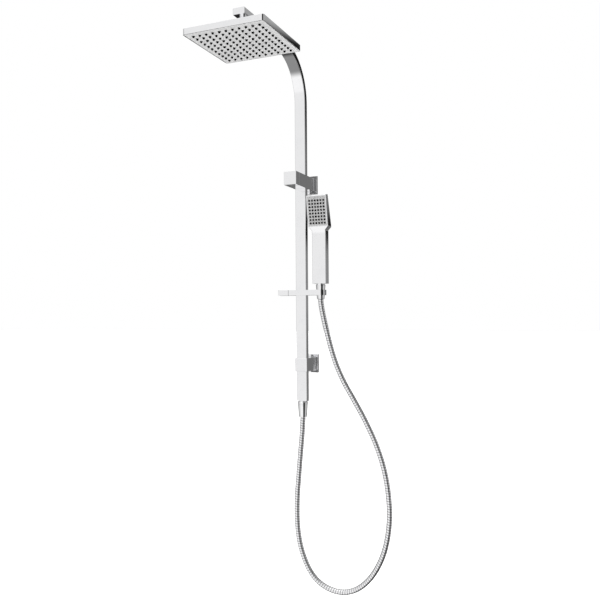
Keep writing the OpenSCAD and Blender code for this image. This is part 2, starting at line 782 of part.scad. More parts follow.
module head_block() {
    back_y = top_y + head_top_t * cos(head_tilt);
    back_z = top_z + head_top_t * sin(head_tilt);
    heel_y = foot_y + head_foot_t;
    flare_w = handle_w / 2 - handle_round;
    intersection() {
        translate([-head_w, 0, 0]) rotate([90, 0, 90]) linear_extrude(2 * head_w)
            polygon(concat([[0, foot_z - head_flare]],
                [for (t = [0 : 0.125 : 1])
                    [-handle_d / 2 - head_step * t * t, foot_z - head_flare * (1 - t)]],
                [[top_y, top_z], [back_y, back_z], [heel_y, foot_z + shoulder_h],
                    [handle_d / 2, handle_top], [0, handle_top]]));
        translate([0, 100, 0]) rotate([90, 0, 0]) linear_extrude(200)
            polygon([for (s = [-1, 1], p = s < 0
                    ? [[flare_w, foot_z - head_flare], [flare_w, handle_top],
                       [handle_w / 2, handle_top], [head_w / 2, foot_z], [head_w / 2, back_z + 10]]
                    : [[head_w / 2, back_z + 10], [head_w / 2, foot_z], [handle_w / 2, handle_top],
                       [flare_w, handle_top], [flare_w, foot_z - head_flare]])
                [s * p[0], p[1]]]);
    }
}

module handset_shell()
    color("silver") difference() {
        at_handset() union() {
            bar_z(handle_w, handle_d, handle_round, handle_z, handle_top);
            head_block();
        }
        on_face() slab(-head_w / 2 + head_frame, head_w / 2 - head_frame, -e, 2.3,
            -head_len / 2 + head_frame, head_len / 2 - head_frame);
        on_face() slab(-head_w / 2 + head_frame + 2, head_w / 2 - head_frame - 2, 0, 8.5,
            -head_len / 2 + head_frame + 2, head_len / 2 - head_frame - 2);
        at_handset() cyl_z(plug_r + slack, handle_z - e, handle_z + plug_len + slack);
        at_handset() cyl_z(way_r + 1, handle_z, foot_z + 12);
        at_handset() bar_z(handle_w - 2 * handle_wall, handle_d - 2 * handle_wall,
            handle_round / 2, handle_z + plug_len + 3, handle_top - 3);
    }

module handset_face_plate()
    color("gray") on_face() rotate([90, 0, 0]) translate([0, 0, -2.3]) linear_extrude(2)
        difference() {
            square([head_w - 2 * head_frame - 0.2, head_len - 2 * head_frame - 0.2], center = true);
            translate([0, -head_field_drop])
                field(head_cols, head_rows, head_pitch_x, head_pitch_z, head_nozzle_r + 0.15);
        }

module handset_nozzle_mat()
    color("black") on_face() rotate([90, 0, 0]) translate([0, -head_field_drop, 0]) {
        translate([0, 0, -3.3]) linear_extrude(1)
            square([(head_cols - 1) * head_pitch_x + 6, (head_rows - 1) * head_pitch_z + 6],
                center = true);
        translate([0, 0, -2.3]) linear_extrude(2.3 + head_nozzle_out)
            field(head_cols, head_rows, head_pitch_x, head_pitch_z, head_nozzle_r);
    }

upper_flange();
inlet_union();
diverter_body();
rail_gaskets();
diverter_cartridge();
cartridge_nut();
diverter_spindle();
valve_disc();
diverter_knob();
knob_screw();
set_screws();
lower_flange();
wall_boss();
lower_bracket();
rail_tube();
rail_outlet();
arm_tube();
arm_end_plug();
arm_boss();
ball_stem();
ball_seat();
ball_collar();
rose_inlet_boss();
rose_boss_nut();
rose_shell();
rose_face_plate();
rose_nozzle_mat();
slider_body();
slider_liners();
slider_button();
grip_yoke();
button_spring();
cradle_liner();
hose();
rail_hose_nut();
rail_hose_tail();
rail_hose_washer();
cone_nut();
cone_nut_tail();
cone_nut_washer();
handset_spigot();
handset_shell();
handset_face_plate();
handset_nozzle_mat();
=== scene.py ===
import json
import math

import bmesh
import bpy
from mathutils import Matrix, Vector


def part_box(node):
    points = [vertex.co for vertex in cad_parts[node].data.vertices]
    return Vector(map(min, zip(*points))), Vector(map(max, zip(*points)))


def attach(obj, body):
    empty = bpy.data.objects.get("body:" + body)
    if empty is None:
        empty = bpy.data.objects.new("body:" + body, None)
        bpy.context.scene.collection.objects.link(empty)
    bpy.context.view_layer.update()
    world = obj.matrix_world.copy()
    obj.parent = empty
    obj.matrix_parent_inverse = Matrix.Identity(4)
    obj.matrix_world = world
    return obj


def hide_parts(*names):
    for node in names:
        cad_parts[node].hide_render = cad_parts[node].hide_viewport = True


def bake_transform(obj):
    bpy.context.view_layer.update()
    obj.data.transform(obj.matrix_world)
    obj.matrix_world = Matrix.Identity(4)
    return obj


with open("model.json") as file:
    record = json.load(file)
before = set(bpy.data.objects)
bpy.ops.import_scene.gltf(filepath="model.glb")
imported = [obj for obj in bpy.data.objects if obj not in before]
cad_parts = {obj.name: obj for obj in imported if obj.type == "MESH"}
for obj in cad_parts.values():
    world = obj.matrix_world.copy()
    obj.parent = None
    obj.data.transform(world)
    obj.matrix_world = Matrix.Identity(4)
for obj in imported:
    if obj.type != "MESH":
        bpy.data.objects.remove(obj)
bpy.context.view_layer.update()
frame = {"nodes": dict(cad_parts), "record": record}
scene = bpy.context.scene
nodes = frame["nodes"]

# ---- camera

CAMERA_AT = (0.7554, -1.8271, -0.3522)
LENS, SENSOR = 42.85, 36
yaw, pitch, roll = math.radians(23.29), math.radians(1.04), math.radians(-0.4)
ahead = Vector((-math.sin(yaw) * math.cos(pitch), math.cos(yaw) * math.cos(pitch),
                math.sin(pitch)))
level = Vector((math.cos(yaw), math.sin(yaw), 0))
upward = level.cross(ahead)
right = level * math.cos(roll) + upward * math.sin(roll)
top = upward * math.cos(roll) - level * math.sin(roll)
camera = bpy.data.objects.new("camera", bpy.data.cameras.new("camera"))
camera.data.lens, camera.data.sensor_width = LENS, SENSOR
camera.data.clip_end = 60
scene.collection.objects.link(camera)
turn = Matrix((right, top, -ahead)).transposed().to_4x4()
camera.matrix_world = Matrix.Translation(CAMERA_AT) @ turn
scene.camera = camera

# ---- the hose: its route in the rail's plane, from the outlet round the loop to the cone nut

RAIL_Y = -0.0575
ROUTE = [
    (0, -0.6045), (0, -0.632), (-0.002, -0.665), (-0.005, -0.7), (-0.009, -0.74),
    (-0.013, -0.785), (-0.017, -0.83), (-0.019, -0.875), (-0.018, -0.92),
    (-0.012, -0.965), (0, -1.005), (0.018, -1.04), (0.042, -1.065), (0.074, -1.08),
    (0.11, -1.083), (0.144, -1.072), (0.175, -1.048), (0.201, -1.013),
    (0.221, -0.97), (0.233, -0.922), (0.238, -0.872), (0.236, -0.825),
    (0.23, -0.78), (0.22, -0.738), (0.206, -0.698), (0.189, -0.66),
    (0.168, -0.62), (0.144, -0.579), (0.119, -0.537), (0.098, -0.493),
    (0.083, -0.449), (0.071, -0.404), (0.061, -0.362), (0.055, -0.33),
    (0.054, -0.311), (0.054, -0.289)]
HOSE_D = 0.014
PITCH = 0.0066
GROOVE_SHARE, GROOVE_DEPTH = 0.2, 0.0009
HOSE_SIDES, HOSE_STEP = 22, 0.00066
FINE_STEPS = 60


def curve_point(points, i, t):
    """A point on the smooth curve through the route, t of the way from point i to the next."""
    a, b, c, d = (points[min(max(k, 0), len(points) - 1)] for k in range(i - 1, i + 3))
    return 0.5 * (2 * b + (c - a) * t + (2 * a - 5 * b + 4 * c - d) * t ** 2
                  + (3 * b - a - 3 * c + d) * t ** 3)


def even_line(points, step):
    """The route as points that lie the same distance apart."""
    fine = [curve_point(points, i, k / FINE_STEPS)
            for i in range(len(points) - 1) for k in range(FINE_STEPS)]
    fine.append(points[-1])
    along = [0.0]
    for a, b in zip(fine, fine[1:]):
        along.append(along[-1] + (b - a).length)
    count = round(along[-1] / step)
    out, j = [], 0
    for i in range(count + 1):
        want = along[-1] * i / count
        while j < len(fine) - 2 and along[j + 1] < want:
            j += 1
        share = (want - along[j]) / (along[j + 1] - along[j])
        out.append(fine[j].lerp(fine[j + 1], min(max(share, 0), 1)))
    return out, along[-1]


def strip_height(turn):
    """Height of the wound strip at a share of one turn, 0 in the groove and 1 on the crown."""
    beside = min(turn % 1.0, 1 - turn % 1.0)
    return math.sin(math.pi / 2 * min(beside / GROOVE_SHARE, 1))


def wound_hose(sides=HOSE_SIDES):
    """A hose wound from interlocked metal strip, with one flat crown and one groove per turn."""
    line, length = even_line([Vector((x, RAIL_Y, z)) for x, z in ROUTE], HOSE_STEP)
    mesh = bpy.data.meshes.new("shower_hose")
    shape = bmesh.new()
    uv = shape.loops.layers.uv.new("UVMap")
    across = Vector((0, 1, 0))
    rings = []
    for i, p in enumerate(line):
        way = (line[min(i + 1, len(line) - 1)] - line[max(i - 1, 0)]).normalized()
        side = way.cross(across)
        ring = []
        for k in range(sides):
            angle = 2 * math.pi * k / sides
            rise = strip_height(length * i / (len(line) - 1) / PITCH + k / sides)
            r = HOSE_D / 2 - GROOVE_DEPTH * (1 - rise)
            outward = math.cos(angle) * across + math.sin(angle) * side
            ring.append(shape.verts.new(p + r * outward))
        rings.append(ring)
    for i, (a, b) in enumerate(zip(rings, rings[1:])):
        for k in range(sides):
            n = (k + 1) % sides
            face = shape.faces.new((a[k], a[n], b[n], b[k]))
            for loop, (u, v) in zip(face.loops, ((k, i), (k + 1, i), (k + 1, i + 1), (k, i + 1))):
                loop[uv].uv = (u / sides, v * length / (len(line) - 1) / PITCH)
            face.smooth = True
    shape.faces.new(rings[0][::-1])
    shape.faces.new(rings[-1])
    bmesh.ops.recalc_face_normals(shape, faces=shape.faces)
    shape.to_mesh(mesh)
    shape.free()
    piece = bpy.data.objects.new("shower_hose", mesh)
    scene.collection.objects.link(piece)
    return piece, line, length


hose, hose_line, hose_length = wound_hose()
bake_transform(hose)
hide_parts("hose")


# ---- materials

class Socket:
    """A link or number in a shader, so that shader maths reads as plain sums."""

    def __init__(self, sheet, link):
        self.sheet, self.link = sheet, link

    def sum(self, operation, other=None, swap=False):
        pair = (other, self) if swap else (self, other)
        return self.sheet.node("ShaderNodeMath", {"operation": operation},
                               {i: x for i, x in enumerate(pair) if x is not None})

    def __add__(self, x): return self.sum("ADD", x)
    def __radd__(self, x): return self.sum("ADD", x)
    def __sub__(self, x): return self.sum("SUBTRACT", x)
    def __rsub__(self, x): return self.sum("SUBTRACT", x, swap=True)
    def __mul__(self, x): return self.sum("MULTIPLY", x)
    def __abs__(self): return self.sum("ABSOLUTE")

    def within(self, low, high):
        """0 below low, 1 above high, and a smooth rise between them."""
        return self.sheet.node("ShaderNodeMapRange", {"interpolation_type": "SMOOTHSTEP"},
                               {0: self, 1: low, 2: high})


class Finish:
    """One material: its nodes, and the sockets of its surface."""

    def __init__(self, name, colour, roughness, metallic=0.0, **same):
        self.material = bpy.data.materials.new(name)
        self.material.use_nodes = True
        self.tree = self.material.node_tree
        self.surface = self.tree.nodes["Principled BSDF"]
        self.set(**{"Base Color": (*colour, 1), "Roughness": roughness, "Metallic": metallic},
                 **same)
        self.material.diffuse_color = (*colour, 1)

    def set(self, **sockets):
        for name, value in sockets.items():
            self.put(self.surface.inputs[name], value)

    def put(self, socket, value):
        if isinstance(value, Socket):
            self.tree.links.new(value.link, socket)
        else:
            socket.default_value = value

    def node(self, kind, settings=None, sockets=None, out=0):
        made = self.tree.nodes.new(kind)
        for key, value in (settings or {}).items():
            setattr(made, key, value)
        for key, value in (sockets or {}).items():
            self.put(made.inputs[key], value)
        return Socket(self, made.outputs[out])

    def place(self, stretch=(1, 1, 1)):
        """Coordinates on the piece, stretched."""
        start = self.node("ShaderNodeTexCoord", out="Object")
        return self.node("ShaderNodeMapping", None, {"Vector": start, "Scale": stretch})

    def noise(self, scale, at=None, detail=3.0, rough=0.5):
        return self.node("ShaderNodeTexNoise", None, {
            "Vector": at or self.place(), "Scale": scale, "Detail": detail, "Roughness": rough})

    def tint(self, mask, low, high):
        """A colour that goes from low to high with the mask."""
        return self.node("ShaderNodeMix", {"data_type": "RGBA"},
                         {0: mask, 6: (*low, 1), 7: (*high, 1)}, out=2)

    def bump(self, height, strength, distance):
        return self.node("ShaderNodeBump", None,
                         {"Strength": strength, "Distance": distance, "Height": height})


def polished_chrome(name, base=0.9, roughness=0.045, waviness=0.1, smears=0.05):
    """Bright plated metal: a slight ripple left by the buffing wheel, and faint dried water."""
    f = Finish(name, (base, base, base * 1.01), roughness, 1.0)
    ripple = f.noise(14, detail=2)
    cloud = f.noise(38, detail=5).within(0.42, 0.72)
    spots = f.node("ShaderNodeTexVoronoi", {"feature": "F1"},
                   {"Vector": f.place(), "Scale": 160.0, "Randomness": 1.0})
    dried = (1 - spots.within(0.10, 0.24)) * f.noise(55, detail=2).within(0.6, 0.72)
    f.set(**{
        "Base Color": f.tint(cloud * 0.5 + dried * 0.3, (base, base, base * 1.01),
                             (base * 0.955, base * 0.96, base * 0.975)),
        "Roughness": roughness + cloud * smears + dried * 0.08,
        "Normal": f.bump(ripple, waviness, 0.0002)})
    return f.material


def brushed_plate(name, base, roughness, metallic, along=(6, 220, 220)):
    """Satin plate with fine lines left by the brush."""
    f = Finish(name, (base, base, base), roughness, metallic)
    lines = f.noise(9, f.place(stretch=along), detail=4, rough=0.65)
    cloud = f.noise(16, detail=4)
    f.set(**{
        "Base Color": f.tint(lines * 0.7 + cloud * 0.3, (base * 0.93,) * 3, (base * 1.05,) * 3),
        "Roughness": roughness - 0.07 + lines * 0.12 + cloud * 0.05,
        "Normal": f.bump(lines, 0.22, 0.0001)})
    return f.material


def soft_rubber(name, base, roughness=0.55):
    """Moulded silicone with a fine skin and a little dust."""
    f = Finish(name, (base,) * 3, roughness, 0.0, **{"Specular IOR Level": 0.06})
    skin = f.noise(900, detail=3)
    dust = f.noise(60, detail=5, rough=0.6).within(0.45, 0.75)
    f.set(**{
        "Base Color": f.tint(dust, (base,) * 3, (base * 1.9,) * 3),
        "Roughness": roughness - 0.06 + dust * 0.16,
        "Normal": f.bump(skin, 0.3, 0.00005)})
    return f.material


def moulded_plastic(name, colour, roughness=0.42):
    """Plain injection moulding with a spark-eroded grain."""
    f = Finish(name, colour, roughness)
    grain = f.noise(1400, detail=2)
    cloud = f.noise(45, detail=4)
    f.set(**{
        "Base Color": f.tint(cloud, tuple(c * 0.94 for c in colour),
                             tuple(min(c * 1.03, 1) for c in colour)),
        "Roughness": roughness - 0.05 + grain * 0.12,
        "Normal": f.bump(grain, 0.35, 0.00004)})
    return f.material


def turned_metal(name, colour, roughness=0.28, along=(900, 900, 60)):
    """Machined brass or steel with tool marks and a dull, uneven tarnish."""
    f = Finish(name, colour, roughness, 1.0)
    marks = f.noise(1.2, f.place(stretch=along), detail=3)
    tarnish = f.noise(70, detail=5, rough=0.62).within(0.38, 0.75)
    f.set(**{
        "Base Color": f.tint(tarnish, colour, tuple(c * 0.66 for c in colour)),
        "Roughness": roughness + marks * 0.08 + tarnish * 0.22,
        "Normal": f.bump(marks, 0.3, 0.00006)})
    return f.material


def wound_strip(name):
    """Polished strip, rougher and with shade painted nearly black down between its turns."""
    f = Finish(name, (0.9, 0.9, 0.91), 0.22, 1.0)
    where = f.node("ShaderNodeSeparateXYZ", None, {0: f.node("ShaderNodeTexCoord", out="UV")})
    around = Socket(f, where.link)
    along = Socket(f, where.link.node.outputs[1])
    turns = f.node("ShaderNodeMath", {"operation": "FRACT"}, {0: along + around})
    dark = 0.8 * GROOVE_SHARE
    # painted shade: a mask that runs nearly black down between the turns of the strip
    seam_shade = 1 - turns.within(0.0, dark) * (1 - turns.within(1 - dark, 1.0))
    worn = f.noise(240, detail=4)
    f.set(**{
        # painted shade: the base colour goes nearly black down between the turns
        "Base Color": f.tint(seam_shade, (0.98, 0.98, 0.99), (0.12, 0.12, 0.13)),
        "Roughness": 0.26 + worn * 0.09 + seam_shade * 0.1,
        "Normal": f.bump(worn, 0.12, 0.00004)})
    return f.material


CHROME = polished_chrome("polished_chrome")
SOFT_CHROME = polished_chrome("polished_chrome_small", roughness=0.07, waviness=0.05)
ROSE_PLATE = brushed_plate("satin_rose_plate", 0.74, 0.45, 0.35)
HEAD_PLATE = brushed_plate("satin_head_plate", 0.52, 0.42, 0.45, along=(220, 220, 6))
NOZZLE = soft_rubber("black_silicone", 0.0035, 0.75)
SEAL = soft_rubber("seal_rubber", 0.035, 0.7)
WHITE = moulded_plastic("white_plastic", (0.82, 0.82, 0.79))
LINER = moulded_plastic("grey_liner_plastic", (0.38, 0.39, 0.41), 0.5)
BRASS = turned_metal("turned_brass", (0.78, 0.6, 0.31))
STEEL = turned_metal("dark_steel", (0.42, 0.43, 0.45), 0.32)
STRIP = wound_strip("wound_hose_strip")
BY_SLOT = {
    "chrome": CHROME, "brass": BRASS, "satin_plate": ROSE_PLATE, "nozzle_rubber": NOZZLE,
    "seal_rubber": SEAL, "white_plastic": WHITE, "grey_plastic": LINER, "steel": STEEL,
    "hose_metal": STRIP}


def dress(piece, material):
    """Gives a piece one material."""
    piece.data.materials.clear()
    piece.data.materials.append(material)


for part in frame["record"]["subparts"]:
    dress(nodes[part["node"]], BY_SLOT[part["material_slot"]])
dress(hose, STRIP)

# ---- ways of working

FACING = 0.9


def clear():
    """Deselects everything."""
    bpy.ops.object.select_all(action="DESELECT")


def take(piece):
    """Selects one piece and makes it the active one."""
    clear()
    piece.select_set(True)
    bpy.context.view_layer.objects.active = piece


def start(name):
    """Names the primitive that was just added, and puts its place into its mesh."""
    piece = bpy.context.object
    piece.name = piece.data.name = name
    bpy.ops.object.transform_apply(location=True, rotation=True, scale=True)
    return piece


def slab(name, low, high):
    """A box between two corners."""
    clear()
    low, high = Vector(low), Vector(high)
    bpy.ops.mesh.primitive_cube_add(size=1, location=(low + high) / 2, scale=high - low)
    return start(name)


def rod(name, centre, radius, length, sides=64, axis="Z", top_radius=None):
    """A round bar or cone, its middle at centre."""
    clear()
    tilt = {"Z": (0, 0, 0), "Y": (-math.pi / 2, 0, 0), "X": (0, math.pi / 2, 0)}[axis]
    bpy.ops.mesh.primitive_cone_add(
        vertices=sides, radius1=radius, radius2=radius if top_radius is None else top_radius,
        depth=length, location=centre, rotation=tilt)
    return start(name)


def edit(piece):
    """Goes into edit mode on a piece."""
    take(piece)
    bpy.ops.object.mode_set(mode="EDIT")


def leave():
    """Goes back to object mode."""
    bpy.ops.object.mode_set(mode="OBJECT")


def middle(item):
    """The middle of a face or an edge."""
    return sum((v.co for v in item.verts), Vector()) / len(item.verts)


def drop(item):
    """How far a face or an edge reaches from its lowest corner up to its highest."""
    heights = [v.co.z for v in item.verts]
    return max(heights) - min(heights)


def pick(piece, test, kind="faces"):
    """Selects what passes a test, in edit mode."""
    bpy.ops.mesh.select_mode(type={"faces": "FACE", "edges": "EDGE", "verts": "VERT"}[kind])
    bpy.ops.mesh.select_all(action="DESELECT")
    shape = bmesh.from_edit_mesh(piece.data)
    shape.normal_update()
    for item in getattr(shape, kind):
        if test(item):
            item.select_set(True)
    bmesh.update_edit_mesh(piece.data)


def push(offset):
    """Extrudes what is selected by an offset."""
    bpy.ops.mesh.extrude_region_move(TRANSFORM_OT_translate={"value": offset})


def apply(piece, kind, **settings):
    """Adds a modifier and applies it."""
    take(piece)
    modifier = piece.modifiers.new(kind.lower(), kind)
    for key, value in settings.items():
        setattr(modifier, key, value)
    bpy.ops.object.modifier_apply(modifier=modifier.name)


def cut(piece, *tools, operation="DIFFERENCE"):
    """Cuts tools out of a piece, or joins them to it, and removes them."""
    for tool in tools:
        apply(piece, "BOOLEAN", object=tool, operation=operation, solver="EXACT")
        bpy.data.objects.remove(tool)


def smooth(piece, angle=40):
    """Evens the shading, so that flat faces stay flat and only real edges are crisp."""
    take(piece)
    bpy.ops.object.shade_smooth_by_angle(angle=math.radians(angle))
    apply(piece, "WEIGHTED_NORMAL", keep_sharp=True, weight=100)


def ease(piece, width, segments=3, angle=35):
    """Rounds the sharp edges."""
    apply(piece, "BEVEL", width=width, segments=segments, limit_method="ANGLE",
          angle_limit=math.radians(angle), miter_outer="MITER_ARC", use_clamp_overlap=True)
    smooth(piece)


def done(piece, body, slot, material, *stands_for):
    """Dresses a piece and hangs it on its body, in place of the plain parts.

    The rose is kept out of the mirror images in the rail and the arm.
    """
    dress(piece, material)
    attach(piece, body)
    piece.visible_glossy = body != "rose"
    if stands_for:
        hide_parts(*stands_for)
    return piece


def turned(name, profile, x, y, steps=72):
    """A ring spun round an upright axis from a closed outline of (radius, height)."""
    clear()
    bpy.ops.mesh.primitive_circle_add(vertices=len(profile), radius=0.01)
    piece = start(name)
    edit(piece)
    for v, (r, z) in zip(bmesh.from_edit_mesh(piece.data).verts, profile):
        v.co = (x + r, y, z)
    bmesh.update_edit_mesh(piece.data)
    bpy.ops.mesh.select_all(action="SELECT")
    bpy.ops.mesh.spin(steps=steps, angle=2 * math.pi, center=(x, y, 0), axis=(0, 0, 1))
    bpy.ops.mesh.select_all(action="SELECT")
    bpy.ops.mesh.remove_doubles(threshold=0.00002)
    bpy.ops.mesh.normals_make_consistent(inside=False)
    leave()
    return piece


def jet(name, place, r, out, back):
    """One soft nozzle that points down: a root in its plate, a tapered nipple and its hole."""
    piece = rod(name, place + Vector((0, 0, back / 2)), r, back, sides=12)
    edit(piece)
    pick(piece, lambda f: f.normal.z < -0.9)
    push((0, 0, -out * 0.7))
    bpy.ops.transform.resize(value=(0.9, 0.9, 1), center_override=place)
    push((0, 0, -out * 0.3))
    bpy.ops.transform.resize(value=(0.74, 0.74, 1), center_override=place)
    bpy.ops.mesh.inset(thickness=r * 0.27)
    push((0, 0, out * 0.6))
    leave()
    return piece


def repeat(piece, count, step):
    """Copies a piece in a straight row."""
    apply(piece, "ARRAY", count=count, use_relative_offset=False, use_constant_offset=True,
          constant_offset_displace=step)


def round_upright_edges(piece, taller_than, offset, segments):
    """Bevels the upright edges of a block, in edit mode."""
    pick(piece, lambda e: drop(e) > taller_than, "edges")
    bpy.ops.mesh.bevel(offset=offset, segments=segments)


def dished_pad(name, low, high, border):
    """A flat pad whose back is sunk a little inside its border."""
    piece = slab(name, low, high)
    edit(piece)
    pick(piece, lambda f: f.normal.z > FACING)
    bpy.ops.mesh.inset(thickness=border)
    bpy.ops.transform.translate(value=(0, 0, -0.0004))
    leave()
    return piece


def rounded(a, b, r, steps, first, last):
    """Points on a quarter of a circle round (a, b), from one angle to the other."""
    turns = [first + (last - first) * k / steps for k in range(steps + 1)]
    return [(a + r * math.cos(t), b + r * math.sin(t)) for t in turns]


# ---- overhead rose: a bevelled casing with its edge turned down round the plate

ROSE_WALL, ROSE_CORNER, INLET_R = 0.002, 0.006, 0.0086
low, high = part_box("rose_shell")
rose_axis = (low + high) / 2
casing = slab("rose_casing", low, high)
edit(casing)
round_upright_edges(casing, 0.01, ROSE_CORNER, 8)
pick(casing, lambda f: f.normal.z < -FACING)
bpy.ops.mesh.inset(thickness=ROSE_WALL)
push((0, 0, high.z - low.z - ROSE_WALL))
leave()
cut(casing, rod("inlet_hole", (rose_axis.x, rose_axis.y, high.z), INLET_R, 0.01, 48))
ease(casing, 0.0006)
done(casing, "rose", "chrome", CHROME, "rose_shell")

mat_low, mat_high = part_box("rose_nozzle_mat")
face_low, face_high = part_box("rose_face_plate")
ROSE_ROWS, ROSE_JET, ROSE_HOLE, ROSE_MARGIN = 11, 0.0028, 0.0032, 0.018
span = high.x - low.x - 2 * ROSE_MARGIN
gap = span / (ROSE_ROWS - 1)
corner = Vector((rose_axis.x - span / 2, rose_axis.y - span / 2, face_low.z))


def rose_field(piece):
    """Repeats a nozzle or a hole over the rose."""
    repeat(piece, ROSE_ROWS, (gap, 0, 0))
    repeat(piece, ROSE_ROWS, (0, gap, 0))


jets = jet("rose_nozzles", corner, ROSE_JET, face_low.z - mat_low.z, face_high.z - face_low.z)
rose_field(jets)
smooth(jets, 50)
plate = slab("rose_plate", face_low, face_high)
edit(plate)
round_upright_edges(plate, 0.001, ROSE_CORNER - ROSE_WALL, 6)
leave()
holes = rod("plate_holes", (corner.x, corner.y, (face_low.z + face_high.z) / 2),
            ROSE_HOLE, 0.004, sides=20)
rose_field(holes)
cut(plate, holes)
ease(plate, 0.0002, 1, 60)
done(plate, "rose", "satin_plate", ROSE_PLATE, "rose_face_plate")
pad = dished_pad("rose_mat", (mat_low.x, mat_low.y, face_high.z), mat_high, 0.003)
ease(pad, 0.0003, 2)
done(jets, "rose", "nozzle_rubber", NOZZLE, "rose_nozzle_mat")
done(pad, "rose", "nozzle_rubber", NOZZLE)

# ---- ball joint: the collar that holds the rose, with a grip of fine flutes

low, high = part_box("ball_collar")
axis = (low + high) / 2
ball_z = low.z + 0.012
OUT, CUP, FLUTES = high.x - axis.x, 0.0116, 36
outline = [(OUT - 0.0005, low.z), (OUT, low.z + 0.0005), (OUT, low.z + 0.0022),
           (OUT - 0.0005, low.z + 0.0027), (OUT - 0.0005, low.z + 0.0034),
           (OUT, low.z + 0.0038), (OUT, high.z - 0.0048), (OUT - 0.0004, high.z - 0.0035),
           (OUT - 0.0014, high.z - 0.0018), (OUT - 0.0033, high.z - 0.0002),
           (OUT - 0.0039, high.z), (0.0096, high.z), (0.00925, high.z - 0.0004)]
outline += rounded(0, ball_z, CUP, 6, math.asin(0.007 / CUP), 0)
outline += [(CUP, ball_z - 0.0007), (0.0138, ball_z - 0.0007), (0.0138, low.z)]
collar = turned("joint_collar", outline, axis.x, axis.y, FLUTES * 2)
edit(collar)


def every_second_land(face):
    """Every second one of the tall faces round the collar's grip."""
    at = middle(face) - axis
    if abs(face.normal.z) > 0.1 or at.xy.length < OUT - 0.0006 or drop(face) < 0.006:
        return False
    return int(math.atan2(at.y, at.x) / math.pi * FLUTES + 1000) % 2 == 0


pick(collar, every_second_land)
bpy.ops.mesh.inset(thickness=0.00025, use_individual=True)
bpy.ops.transform.shrink_fatten(value=-0.0005)
leave()
smooth(collar, 38)
done(collar, "collar", "chrome", SOFT_CHROME, "ball_collar")

# ---- diverter: a square body and its square knob, with a shadow gap between

low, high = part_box("diverter_body")
mid = Vector((0, RAIL_Y, (low.z + high.z) / 2))
RAIL_WAY = Vector((0.0151, 0.0076, 0))
STUB_R, STUB_IN = 0.0131, 0.0105
BLOCK_EDGE = 0.0007
SOCKET = high.z - 0.008
THROUGH = Vector((0, 0, 0.03))
body = slab("diverter_block", low, high)
cut(body,
    rod("cartridge_chamber", (0, low.y + 0.0135, 0), 0.0125, 0.029, 64, "Y"),
    rod("wall_socket", (0, high.y - STUB_IN, 0), STUB_R, 0.0222, 64, "Y"),
    slab("upper_socket", mid - RAIL_WAY + Vector((0, 0, SOCKET)), mid + RAIL_WAY + THROUGH),
    slab("lower_socket", mid - RAIL_WAY - THROUGH, mid + RAIL_WAY - Vector((0, 0, SOCKET))))
ease(body, BLOCK_EDGE)
done(body, "column", "chrome", CHROME, "diverter_body")

low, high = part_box("diverter_knob")
knob = slab("diverter_handle", low, high)
edit(knob)
pick(knob, lambda f: f.normal.y < -FACING)
bpy.ops.mesh.inset(thickness=0.0011)
pick(knob, lambda f: f.normal.y > FACING)
bpy.ops.mesh.inset(thickness=0.0035)
push((0, -0.005, 0))
leave()
cut(knob, rod("grub_hole", (0, low.y + 0.010, low.z + 0.003), 0.0021, 0.012, 32),
    rod("spindle_hole", (0, high.y - 0.007, 0), 0.0041, 0.014, 48, "Y"))
ease(knob, BLOCK_EDGE)
done(knob, "diverter", "chrome", CHROME, "diverter_knob")

# ---- lower bracket, and the cover plates on the wall

low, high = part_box("lower_bracket")
bracket = slab("wall_bracket", low, high)
mid = Vector((0, RAIL_Y, (low.z + high.z) / 2))
cut(bracket,
    slab("rail_way", mid - RAIL_WAY - THROUGH, mid + RAIL_WAY + THROUGH),
    rod("boss_socket", (0, high.y - STUB_IN, mid.z), STUB_R, 0.0222, 64, "Y"))
ease(bracket, BLOCK_EDGE)
done(bracket, "column", "chrome", CHROME, "lower_bracket")

COVER_RIM = 0.0074
for part, name in (("upper_flange", "upper_cover"), ("lower_flange", "lower_cover")):
    low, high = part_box(part)
    cover = slab(name, low, high)
    edit(cover)
    pick(cover, lambda f: abs(f.normal.y) > FACING)
    bpy.ops.mesh.inset(thickness=COVER_RIM, use_individual=True)
    bpy.ops.mesh.bridge_edge_loops()
    leave()
    ease(cover, 0.0009)
    done(cover, "column", "chrome", CHROME, part)


# ---- hose nuts: turned cones with a rounded shoulder, worked grooves and a rounded mouth

SHOULDER_R, MOUTH_R = 0.0022, 0.001
THREAD_R, HOSE_WAY_R = 0.0104, 0.0072
NUT_GROOVE = 0.00045


def hose_nut(name, node, mouth, seat, grooves):
    """A hollow nut that narrows down to its mouth, with grooves at their depths below its top."""
    low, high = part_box(node)
    centre = (low + high) / 2
    shoulder = high.x - centre.x

    def side(z):
        return mouth + (shoulder - mouth) * min((z - low.z) / (high.z - 0.002 - low.z), 1)

    outline = [(THREAD_R, high.z), (shoulder - SHOULDER_R - 0.0004, high.z)]
    outline += rounded(shoulder - SHOULDER_R, high.z - SHOULDER_R, SHOULDER_R, 6,
                       math.pi / 2, 0)[1:]
    for at in grooves:
        z = high.z - at
        outline += [(side(z + 0.0005), z + 0.0005), (side(z) - NUT_GROOVE, z + 0.0002),
                    (side(z) - NUT_GROOVE, z - 0.0002), (side(z - 0.0005), z - 0.0005)]
    outline += rounded(side(low.z + MOUTH_R) - MOUTH_R, low.z + MOUTH_R, MOUTH_R, 4,
                       0, -math.pi / 2)
    outline += [(0.0078, low.z), (HOSE_WAY_R, low.z + 0.0006), (HOSE_WAY_R, seat),
                (THREAD_R, seat)]
    nut = turned(name, outline, centre.x, centre.y)
    smooth(nut, 38)
    return nut


